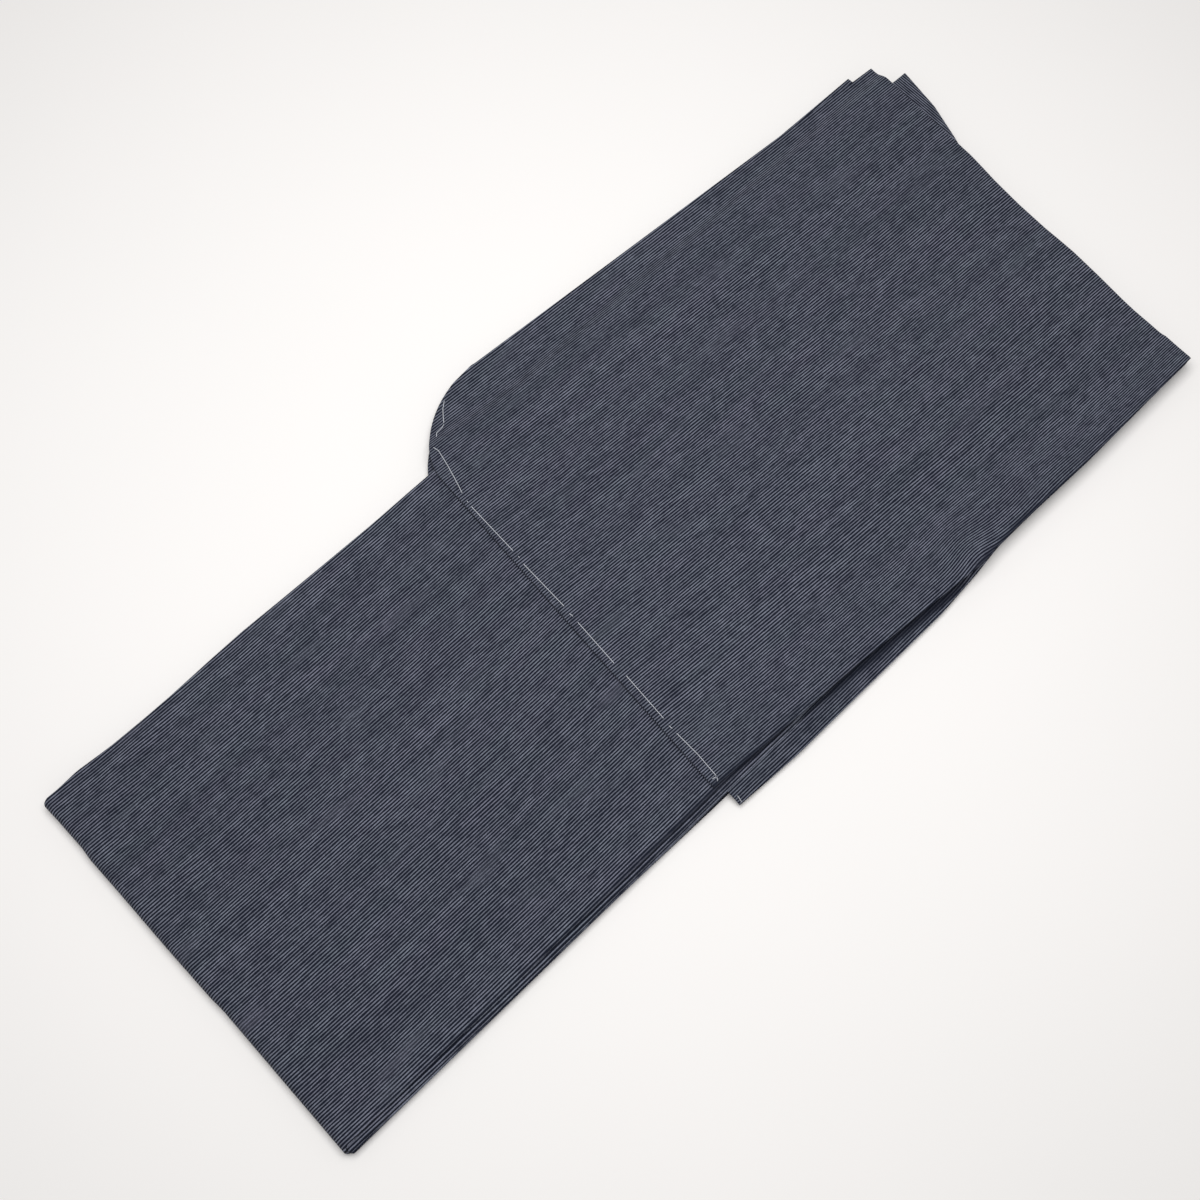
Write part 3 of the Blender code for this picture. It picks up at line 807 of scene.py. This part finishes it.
def cut_of_sleeve(sleeve, rows):
    """Place of each point in the sleeve's flat cut, whose length runs nearly along the cuff."""
    start = Vector(sleeve.stripes_from)
    run = (Vector(sleeve.cuff_end) - start).normalized()
    side = Vector((-run.y, run.x))
    cut = []
    for row in rows:
        places = []
        for point in row:
            offset = Vector((point.x, point.y)) - start
            drift = read_off(SLEEVE_STRIPE_DRIFT, "along", "across", point.x)
            closer = CLOSER_STRIPES * max(CLOSER_STRIPES_END - point.y, 0.0)
            length = offset.dot(run)
            width = offset.dot(side) + drift - closer - pucker(point)
            if sleeve.creases:
                width += armhole_shift(length, point)
            places.append((length, width))
        cut.append(places)
    return cut


def collar_rows():
    """Rows of the collar's band, folded on the centre back, from the neck seam outwards."""
    layer = on_upper_half(SHOULDER, 0.0, FRONTS_DEPTH).z
    radius = SLEEVE_STEP / 2
    arc = [math.pi * step / SLEEVE_TURN_STEPS for step in range(SLEEVE_TURN_STEPS + 1)]
    flat = spread(COLLAR_END, COLLAR_FLAT_END, COLLAR_FLAT_STEP)
    line = [(across, -radius) for across in flat]
    for angle in arc:
        line.append((COLLAR_FOLD - radius + radius * math.sin(angle), -radius * math.cos(angle)))
    line += [(across, radius) for across in reversed(flat)]
    rows = []
    for step in range(COLLAR_ROW_STEPS + 1):
        share = step / COLLAR_ROW_STEPS
        row = []
        for across, height in line:
            inner = read_off(COLLAR_LINE, "across", "inner", across)
            outer = read_off(COLLAR_LINE, "across", "outer", across)
            along = inner + (outer - inner) * share
            sag = COLLAR_SAG * smooth((along - SHOULDER) / (COLLAR_TIP - SHOULDER))
            row.append(Vector((along, across, layer + height - sag)))
        rows.append(row)
    return rows


def cut_of_collar(rows):
    """Place of each point in the collar's strip, whose length runs round the neck."""
    cut = []
    for row in rows:
        places = [(row[0].y, row[0].x)]
        for before, point in zip(row, row[1:]):
            places.append((places[-1][0] + (point - before).length, point.x))
        cut.append(places)
    return cut


def put_in_scene(name, grid, material):
    """An object with the grid's faces and a material, linked to the scene."""
    mesh = bpy.data.meshes.new(name)
    grid.to_mesh(mesh)
    grid.free()
    mesh.materials.append(material)
    piece = bpy.data.objects.new(name, mesh)
    bpy.context.scene.collection.objects.link(piece)
    return piece


def cloth_shell(name, rows, cut, material, ring=False, turned=None):
    """A piece of cloth: a surface through its rows, with its cut as a map, and a wall with round rims."""
    grid = bmesh.new()
    cut_map = grid.loops.layers.uv.new("cut")
    turned_edge = grid.verts.layers.float.new("turned_edge")
    points = [[grid.verts.new(pressed_in(point) + shift) for point in row] for row in rows]
    # Painted shade at turned edges, kept on each point.
    if turned is not None:
        for row, laid in zip(rows, points):
            for point, corner in zip(row, laid):
                corner[turned_edge] = turned(point)
    places = {}
    for row, cuts in zip(points, cut):
        places.update(zip(row, cuts))
    for row, following in zip(points, points[1:]):
        count = len(row) if ring else len(row) - 1
        for index in range(count):
            beside = (index + 1) % len(row)
            face = grid.faces.new((row[index], row[beside], following[beside], following[index]))
            face.smooth = True
            for loop in face.loops:
                loop[cut_map].uv = places[loop.vert]
    piece = put_in_scene(name, grid, material)
    wall = piece.modifiers.new("Wall", "SOLIDIFY")
    wall.thickness = CLOTH
    wall.offset = 0.0
    wall.use_even_offset = True
    rim = piece.modifiers.new("Round rims", "BEVEL")
    rim.width = CLOTH * RIM_ROUNDING
    rim.segments = 2
    rim.limit_method = "ANGLE"
    rim.angle_limit = math.radians(RIM_ANGLE)
    return piece


def thread_path(points, surface):
    """Places of a stitch every small step: it lies on the cloth and dips into it at both ends."""
    path = []
    plan = [Vector(point) for point in points]
    total = sum((b - a).length for a, b in zip(plan, plan[1:]))
    travelled = 0.0
    for start, end in zip(plan, plan[1:]):
        length = (end - start).length
        for place in spread(0.0, length, THREAD_STEP)[:-1]:
            path.append((start.lerp(end, place / length), travelled + place))
        travelled += length
    path.append((plan[-1], total))
    laid = []
    for place, walked in path:
        from_end = min(walked, total - walked)
        dip = THREAD_DIP * (1 - smooth(from_end / THREAD_DIP_LENGTH))
        above = Vector((place.x, place.y, ABOVE_ALL)) + shift
        hit = surface.ray_cast(above, Vector((0.0, 0.0, -1.0)))[0]
        if hit is None:
            hit = surface.find_nearest(Vector((above.x, above.y, HALF_STACK)))[0]
        laid.append(hit + Vector((0.0, 0.0, PLY_RADIUS + PLY_OFFSET - dip)))
    return laid


def basting(name, stitches, cloth, material):
    """Basting stitches, each of two plies twisted together, laid on the cloth that they hold."""
    bpy.context.view_layer.update()
    surface = BVHTree.FromObject(cloth, bpy.context.evaluated_depsgraph_get())
    grid = bmesh.new()
    for stitch in stitches:
        path = thread_path(stitch, surface)
        for ply in range(PLIES):
            rings = []
            walked = 0.0
            for index, centre in enumerate(path):
                before = path[max(index - 1, 0)]
                after = path[min(index + 1, len(path) - 1)]
                walked += (centre - before).length
                forward = (after - before).normalized()
                side = forward.cross(Vector((0.0, 0.0, 1.0))).normalized()
                up = side.cross(forward)
                turn = 2 * math.pi * (walked / TWIST_PITCH + ply / PLIES)
                middle = centre + (side * math.cos(turn) + up * math.sin(turn)) * PLY_OFFSET
                ring = []
                for corner in range(PLY_SIDES):
                    angle = 2 * math.pi * corner / PLY_SIDES
                    out = (side * math.cos(angle) + up * math.sin(angle)) * PLY_RADIUS
                    ring.append(grid.verts.new(middle + out))
                rings.append(ring)
            for ring, following in zip(rings, rings[1:]):
                for corner in range(PLY_SIDES):
                    beside = (corner + 1) % PLY_SIDES
                    corners = (ring[corner], ring[beside], following[beside], following[corner])
                    grid.faces.new(corners).smooth = True
            grid.faces.new(rings[0])
            grid.faces.new(rings[-1][::-1])
    bmesh.ops.recalc_face_normals(grid, faces=grid.faces)
    return put_in_scene(name, grid, material)


def linear(colour):
    """Linear colour of an sRGB hex value, opaque."""
    channels = [int(colour[index:index + 2], 16) / 255 for index in (0, 2, 4)]
    return [c / 12.92 if c <= 0.04045 else ((c + 0.055) / 1.055) ** 2.4 for c in channels] + [1.0]


def add(tree, kind, sockets=None, **settings):
    """Add a shader node, with its settings, and with values, nodes or outputs for its sockets."""
    node = tree.nodes.new("ShaderNode" + kind)
    for name, value in settings.items():
        setattr(node, name, value)
    for socket, value in (sockets or {}).items():
        if isinstance(value, bpy.types.Node):
            value = value.outputs[0]
        if isinstance(value, bpy.types.NodeSocket):
            tree.links.new(value, node.inputs[socket])
        else:
            node.inputs[socket].default_value = value
    return node


def new_material(name):
    """An empty material with its shader and output."""
    material = bpy.data.materials.new(name)
    material.use_nodes = True
    return material, material.node_tree, material.node_tree.nodes["Principled BSDF"]


def indigo_striped_cotton():
    """Plain-woven cotton of dyed yarn: matt, pale stripes a little raised, their brightness uneven, with
    painted shade at turned edges.
    """
    material, tree, shader = new_material("indigo_striped_cotton")
    cut = add(tree, "UVMap", uv_map="cut")

    # The stripes wander a little, as handled cloth does.
    axes = add(tree, "SeparateXYZ", {0: cut})
    across = axes.outputs[1]
    for bow in STRIPE_WANDERS:
        place = add(tree, "VectorMath", {0: cut, 1: bow.scale}, operation="MULTIPLY")
        wander = add(tree, "TexNoise", {"Vector": place, "Scale": 1.0, "Detail": 1.0})
        across = add(tree, "Math", {0: wander, 1: bow.reach, 2: across}, operation="MULTIPLY_ADD")
    count = add(tree, "Math", {0: across, 1: STRIPE_PITCH}, operation="DIVIDE")
    from_middle = add(tree, "Math", {0: count, 1: 0.5}, operation="PINGPONG")
    number = add(tree, "Math", {0: count}, operation="FLOOR")

    # Each side of a stripe has its own strength, and dashes where the yarn is thicker or thinner.
    own = add(tree, "TexWhiteNoise", {"W": number}, noise_dimensions="1D")
    along_yarn = add(tree, "Math", {0: axes, 1: DASHES}, operation="MULTIPLY")
    apart = add(tree, "Math", {0: number, 1: DASHES_APART}, operation="MULTIPLY")
    place = add(tree, "CombineXYZ", {0: along_yarn, 1: apart})
    dash = add(tree, "TexNoise", {"Vector": place, "Scale": 1.0, "Detail": 4.0, "Roughness": 0.7})

    # Streaks of lighter and darker stripes, patches where the stripes blur together, and tints.
    patterns = {"own": own, "dash": dash}
    for cloud in CLOUDS:
        place = add(tree, "VectorMath", {0: cut, 1: cloud.scale}, operation="MULTIPLY")
        sockets = {"Vector": place, "Scale": 1.0, "Detail": cloud.detail}
        patterns[cloud.name] = add(tree, "TexNoise", sockets)

    # A stripe is pale in its middle, with soft edges.
    sockets = {"Value": dash, "From Min": 0.3, "From Max": 0.7, "To Min": STRIPE_THIN, "To Max": STRIPE_THICK}
    width = add(tree, "MapRange", sockets)
    inner = add(tree, "Math", {0: width, 1: STRIPE_SOFT_EDGE}, operation="SUBTRACT")
    outer = add(tree, "Math", {0: width, 1: STRIPE_SOFT_EDGE}, operation="ADD")
    sockets = {"Value": from_middle, "From Min": inner, "From Max": outer, "To Min": 1.0, "To Max": 0.0}
    pale = add(tree, "MapRange", sockets, interpolation_type="SMOOTHSTEP")
    for row in STRIPE_STRENGTHS:
        sockets = {"From Min": row.low, "From Max": row.high, "To Min": row.weak, "To Max": row.strong}
        strength = add(tree, "MapRange", {"Value": patterns[row.pattern], **sockets})
        pale = add(tree, "Math", {0: pale, 1: strength}, operation="MULTIPLY")
    pale.use_clamp = True
    sockets = {"From Min": BLURRED_FROM, "From Max": BLURRED_TO, "To Min": 0.0, "To Max": MOST_BLURRED}
    blur = add(tree, "MapRange", {"Value": patterns["patch"], **sockets})
    blurred = add(tree, "Mix", {"Factor": blur, "A": pale, "B": BLURRED_PALE}, data_type="FLOAT")

    # Painted shade: on turned edges, and beside and under them, hardly any of the pale yarn is in sight.
    turned = add(tree, "Attribute", attribute_name="turned_edge")
    out_of_shade = add(tree, "Math", {0: 1.0, 1: turned.outputs["Fac"]}, operation="SUBTRACT")
    pale_shaded = add(tree, "Math", {0: blurred, 1: out_of_shade}, operation="MULTIPLY")

    # Faint purple and green tints drift over the pale yarn.
    sockets = {"Factor": patterns["tint"], "A": linear(PURPLISH_YARN), "B": linear(GREENISH_YARN)}
    pale_yarn = add(tree, "Mix", sockets, data_type="RGBA")
    sockets = {"Factor": pale_shaded, "A": linear(NAVY_YARN), "B": pale_yarn.outputs["Result"]}
    colour = add(tree, "Mix", sockets, data_type="RGBA")

    # Warp and weft cross, each hiding the other in turn.
    yarns = (1 / YARN_PITCH, 1 / YARN_PITCH, 1.0)
    place = add(tree, "VectorMath", {0: cut, 1: yarns}, operation="MULTIPLY")
    sockets = {"Vector": place, "Scale": 1.0, "Color1": (1, 1, 1, 1), "Color2": (0, 0, 0, 1)}
    weave = add(tree, "TexChecker", sockets).outputs["Fac"]
    grain = add(tree, "TexNoise", {"Vector": place, "Scale": 0.9, "Detail": 2.0})
    weave_light = add(tree, "MapRange", {"Value": weave, "To Min": WEAVE_DARK, "To Max": WEAVE_LIGHT})
    sockets = {"From Min": 0.25, "From Max": 0.75, "To Min": GRAIN_DARK, "To Max": GRAIN_LIGHT}
    grain_light = add(tree, "MapRange", {"Value": grain, **sockets})
    light = add(tree, "Math", {0: weave_light, 1: grain_light}, operation="MULTIPLY")
    woven = add(tree, "VectorMath", {0: colour.outputs["Result"], "Scale": light}, operation="SCALE")
    tree.links.new(woven.outputs[0], shader.inputs["Base Color"])

    height = 0.0
    for pattern, share in ((blurred, STRIPE_HEIGHT), (grain, GRAIN_HEIGHT), (weave, WEAVE_HEIGHT)):
        height = add(tree, "Math", {0: pattern, 1: share, 2: height}, operation="MULTIPLY_ADD")
    bump = add(tree, "Bump", {"Height": height, "Strength": 0.55, "Distance": FACE_RELIEF})
    tree.links.new(bump.outputs[0], shader.inputs["Normal"])
    shader.inputs["Roughness"].default_value = 0.88
    shader.inputs["IOR"].default_value = 1.45
    shader.inputs["Specular IOR Level"].default_value = 0.12
    shader.inputs["Sheen Weight"].default_value = 0.04
    shader.inputs["Sheen Roughness"].default_value = 0.5
    return material


def white_basting_cotton():
    """Soft two-ply cotton thread, hardly twisted: white, matt and a little fuzzy."""
    material, tree, shader = new_material("white_basting_cotton")
    place = add(tree, "TexCoord").outputs["Object"]
    fibre = add(tree, "TexNoise", {"Vector": place, "Scale": FIBRES, "Detail": 3.0})
    sockets = {"Factor": fibre, "A": linear(THREAD_SHADE), "B": linear(THREAD_WHITE)}
    shade = add(tree, "Mix", sockets, data_type="RGBA")
    tree.links.new(shade.outputs["Result"], shader.inputs["Base Color"])
    bump = add(tree, "Bump", {"Height": fibre, "Strength": 0.4, "Distance": FIBRE_RELIEF})
    tree.links.new(bump.outputs[0], shader.inputs["Normal"])
    shader.inputs["Roughness"].default_value = 0.8
    shader.inputs["Sheen Weight"].default_value = 0.2
    return material


def pale_paper_floor():
    """Matt pale paper: nearly white, with hardly any mottling."""
    material, tree, shader = new_material("pale_paper")
    place = add(tree, "TexCoord").outputs["Object"]
    mottle = add(tree, "TexNoise", {"Vector": place, "Scale": MOTTLES, "Detail": 2.0})
    sockets = {"Factor": mottle, "A": linear(FLOOR_SHADE), "B": linear(FLOOR_WHITE)}
    shade = add(tree, "Mix", sockets, data_type="RGBA")
    tree.links.new(shade.outputs["Result"], shader.inputs["Base Color"])
    shader.inputs["Roughness"].default_value = 0.9
    shader.inputs["Specular IOR Level"].default_value = 0.2
    return material


def place_piece(piece, node):
    """The piece stands in for a solid, which it hides, and hangs from the root."""
    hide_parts(node)
    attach(piece, "root")


def build_body(material):
    """The folded body: the left back outside, both fronts within it, and the right back inside."""
    fine_across = [share / ACROSS_FINE_COUNT for share in range(ACROSS_FINE_COUNT + 1)]
    left_seam = (LEFT_BACK_DEPTH + LEFT_FRONT_DEPTH) / 2
    right_seam = (RIGHT_BACK_DEPTH + RIGHT_FRONT_DEPTH) / 2
    left_centre = FRONTS_DEPTH + GAP / 2
    right_centre = FRONTS_DEPTH - GAP / 2
    layers = (
        Layer("left_back", LEFT_BACK_DEPTH, left_seam + GAP / 2, left_centre, LEFT_FRONT_DEPTH),
        Layer("left_front", LEFT_FRONT_DEPTH, left_seam - GAP / 2, None, None),
        Layer("right_front", RIGHT_FRONT_DEPTH, right_seam + GAP / 2, None, None),
        Layer("right_back", RIGHT_BACK_DEPTH, right_seam - GAP / 2, right_centre, RIGHT_FRONT_DEPTH),
    )
    for layer in layers:
        top = layer.name == "left_back"
        upper = stretches(UPPER_FINE_STRETCHES if top else UPPER_ROUGH_STRETCHES)
        across = fine_across if top else ACROSS_ROUGH
        rows = body_rows(layer, stretches(LOWER_STRETCHES), upper, across, top)
        # Painted shade on the layers' near edges under the sleeve's corner.
        turned = partial(turned_layer_edge, layer.name)
        panel = cloth_shell(layer.name + "_cloth", rows, cut_of_rows(rows), material, turned=turned)
        place_piece(panel, layer.name if layer.far_seam else "fronts")


def build_sleeves(material):
    """Both sleeves: the left one folded over the top, the right one between the body's halves."""
    body_top = on_upper_half(SHOULDER, 0.0, HALF_STACK).z
    left = Sleeve(
        name="left_sleeve",
        base=body_top + GAP + LAYER / 2,
        near_edge=LEFT_SLEEVE_SIDE,
        cuff_start=(0.3670, 0.3724),
        cuff_end=(0.8614, 0.3404),
        corner=(0.0760, 0.0600),
        stripes_from=(0.3670, 0.3666),
        cuff_step=0.0052,
        cuff_fall=0.0016,
        side_drop=0.0,
        creases=LEFT_SLEEVE_CREASES,
        puff=0.0006,
    )
    right = Sleeve(
        name="right_sleeve",
        base=HALF_STACK - GAP / 2 + GAP + LAYER / 2,
        near_edge=RIGHT_SLEEVE_SIDE,
        cuff_start=(0.3515, 0.3500),
        cuff_end=(0.8430, 0.3480),
        corner=(0.0580, 0.0500),
        stripes_from=(0.3515, 0.3500),
        cuff_step=0.0,
        cuff_fall=0.0014,
        side_drop=0.0030,
        creases=(),
        puff=0.0,
    )
    sleeves = {}
    for sleeve, widths in ((left, LEFT_WIDTHS), (right, RIGHT_WIDTHS)):
        rows = sleeve_rows(sleeve, stretches(SLEEVE_STRETCHES), stretches(widths))
        # Painted shade on the left sleeve's turned edge, painted shadow on the right sleeve beside it.
        turned = turned_sleeve_edge if sleeve is left else shadow_beside_left_sleeve
        cut = cut_of_sleeve(sleeve, rows)
        piece = cloth_shell(sleeve.name + "_cloth", rows, cut, material, ring=True, turned=turned)
        place_piece(piece, sleeve.name)
        sleeves[sleeve.name] = piece
    return sleeves


def build_collar(material):
    """The collar's band, where it stands out of the neck."""
    rows = collar_rows()
    band = cloth_shell("collar_cloth", rows, cut_of_collar(rows), material)
    place_piece(band, "collar")


def build_basting(sleeves, material):
    """The white basting thread on both sleeves."""
    for name, stitches in (("left_sleeve", LEFT_SLEEVE_BASTING), ("right_sleeve", RIGHT_SLEEVE_BASTING)):
        thread = basting(name + "_basting", stitches, sleeves[name], material)
        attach(thread, "root")


def build_floor():
    """A plain pale floor, larger than any view of it."""
    grid = bmesh.new()
    corners = ((-1, -1), (1, -1), (1, 1), (-1, 1))
    grid.faces.new([grid.verts.new((x * FLOOR_REACH, y * FLOOR_REACH, FLOOR_HEIGHT)) for x, y in corners])
    floor = put_in_scene("floor", grid, pale_paper_floor())


def build_studio():
    """A large soft light above the robe, and an even pale surround."""
    lamp = bpy.data.lights.new("key", "AREA")
    lamp.shape = "SQUARE"
    lamp.size = KEY_SIZE
    lamp.energy = KEY_POWER
    lamp.color = linear(STUDIO_WHITE)[:3]
    key = bpy.data.objects.new("key", lamp)
    key.location = KEY_PLACE
    key.rotation_euler = (Vector(KEY_AIM) - Vector(KEY_PLACE)).to_track_quat("-Z", "Y").to_euler()
    bpy.context.scene.collection.objects.link(key)
    world = bpy.data.worlds.new("studio")
    world.use_nodes = True
    surround = world.node_tree.nodes["Background"]
    surround.inputs["Color"].default_value = linear(STUDIO_WHITE)
    surround.inputs["Strength"].default_value = SURROUND
    bpy.context.scene.world = world
    bpy.context.scene.view_settings.view_transform = "Standard"


def build_camera():
    """The photo's view: from above the robe's left half, turned and tilted as fitted to its edges."""
    lens = bpy.data.cameras.new("photo_view")
    lens.lens = CAMERA_LENS
    lens.sensor_width = CAMERA_SENSOR
    camera = bpy.data.objects.new("photo_view", lens)
    camera.location = Vector((CAMERA_ALONG, CAMERA_ACROSS, CAMERA_HEIGHT)) + shift
    camera.rotation_euler = (math.radians(CAMERA_TILT), 0.0, math.radians(CAMERA_TURN))
    bpy.context.scene.collection.objects.link(camera)
    bpy.context.scene.camera = camera


def main():
    """The whole picture: floor, robe, thread, light and camera."""
    build_floor()
    cotton = indigo_striped_cotton()
    build_body(cotton)
    sleeves = build_sleeves(cotton)
    build_collar(cotton)
    build_basting(sleeves, white_basting_cotton())
    build_studio()
    build_camera()


main()
